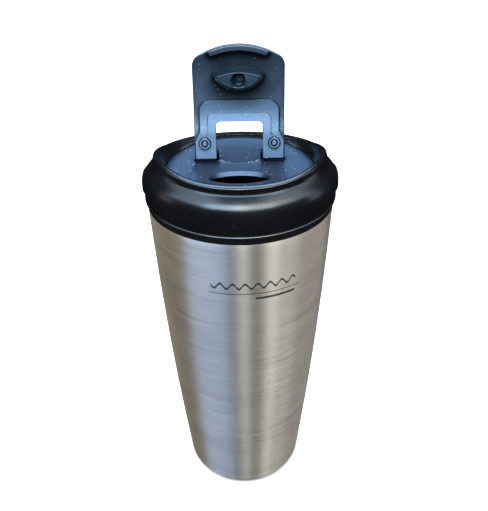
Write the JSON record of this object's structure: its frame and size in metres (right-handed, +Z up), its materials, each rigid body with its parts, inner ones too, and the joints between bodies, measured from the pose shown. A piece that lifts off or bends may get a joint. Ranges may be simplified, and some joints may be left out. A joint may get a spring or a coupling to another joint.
{
  "type": "insulated travel mug",
  "caption": "Tapered double-walled steel travel mug with a black screw-on lid, raised drinking lip and flip-up flap that plugs the drinking hole.",
  "frame": {"origin": "centre of the foot pad's resting face", "axes": "+Z up along the mug's axis; -Y towards the drinking hole at the front, +Y towards the hinge side; +X to the right seen from the front"},
  "size_m": [0.0864, 0.0864, 0.2295],
  "materials": {
    "brushed_steel": "brushed round the body, satin",
    "base_steel": "pressed, dull",
    "pad_rubber": "matt, non-slip",
    "foam": "closed-cell foam",
    "liner_plastic": "smooth, wipeable",
    "seal_rubber": "matt",
    "collar_plastic": "satin black",
    "gasket_silicone": "soft, matt",
    "insert_plastic": "satin black",
    "lid_plastic": "satin black with a fine moulded grain",
    "deck_plastic": "satin black with a fine moulded grain",
    "pin_steel": "turned and polished",
    "flap_plastic": "satin black",
    "bracket_plastic": "satin black",
    "stake_plastic": "semi-gloss black",
    "plug_silicone": "soft, satin"
  },
  "bodies": {
    "mug": {"outer_shell": "brushed_steel", "base_plate": "base_steel", "foot_pad": "pad_rubber", "foam_insulation": "foam", "inner_liner": "liner_plastic", "collar_seal": "seal_rubber", "collar": "collar_plastic"},
    "gasket": {"lid_gasket": "gasket_silicone"},
    "lid": {"lid_insert": "insert_plastic", "lid_shell": "lid_plastic", "lid_deck": "deck_plastic", "hinge_pins": "pin_steel"},
    "flap": {"flap_cover": "flap_plastic", "hinge_bracket": "bracket_plastic", "bracket_stakes": "stake_plastic", "sip_plug": "plug_silicone"}
  },
  "joints": [
    {"name": "lid_lift", "type": "slide", "parent": "mug", "child": "gasket", "axis": [0, 0, 1], "range_m": [0, 0.015]},
    {"name": "lid_turn", "type": "hinge", "parent": "gasket", "child": "lid", "pos_m": [0, 0, 0.1693], "axis": [0, 0, 1], "range_deg": [0, 450]},
    {"name": "flap_hinge", "type": "hinge", "parent": "lid", "child": "flap", "pos_m": [0, 0.0089, 0.1823], "axis": [1, 0, 0], "range_deg": [-70, 87]}
  ],
  "couplings": [
    {"joint": "lid_lift", "follows": "lid_turn", "m_per_rad": 0.0019099}
  ]
}
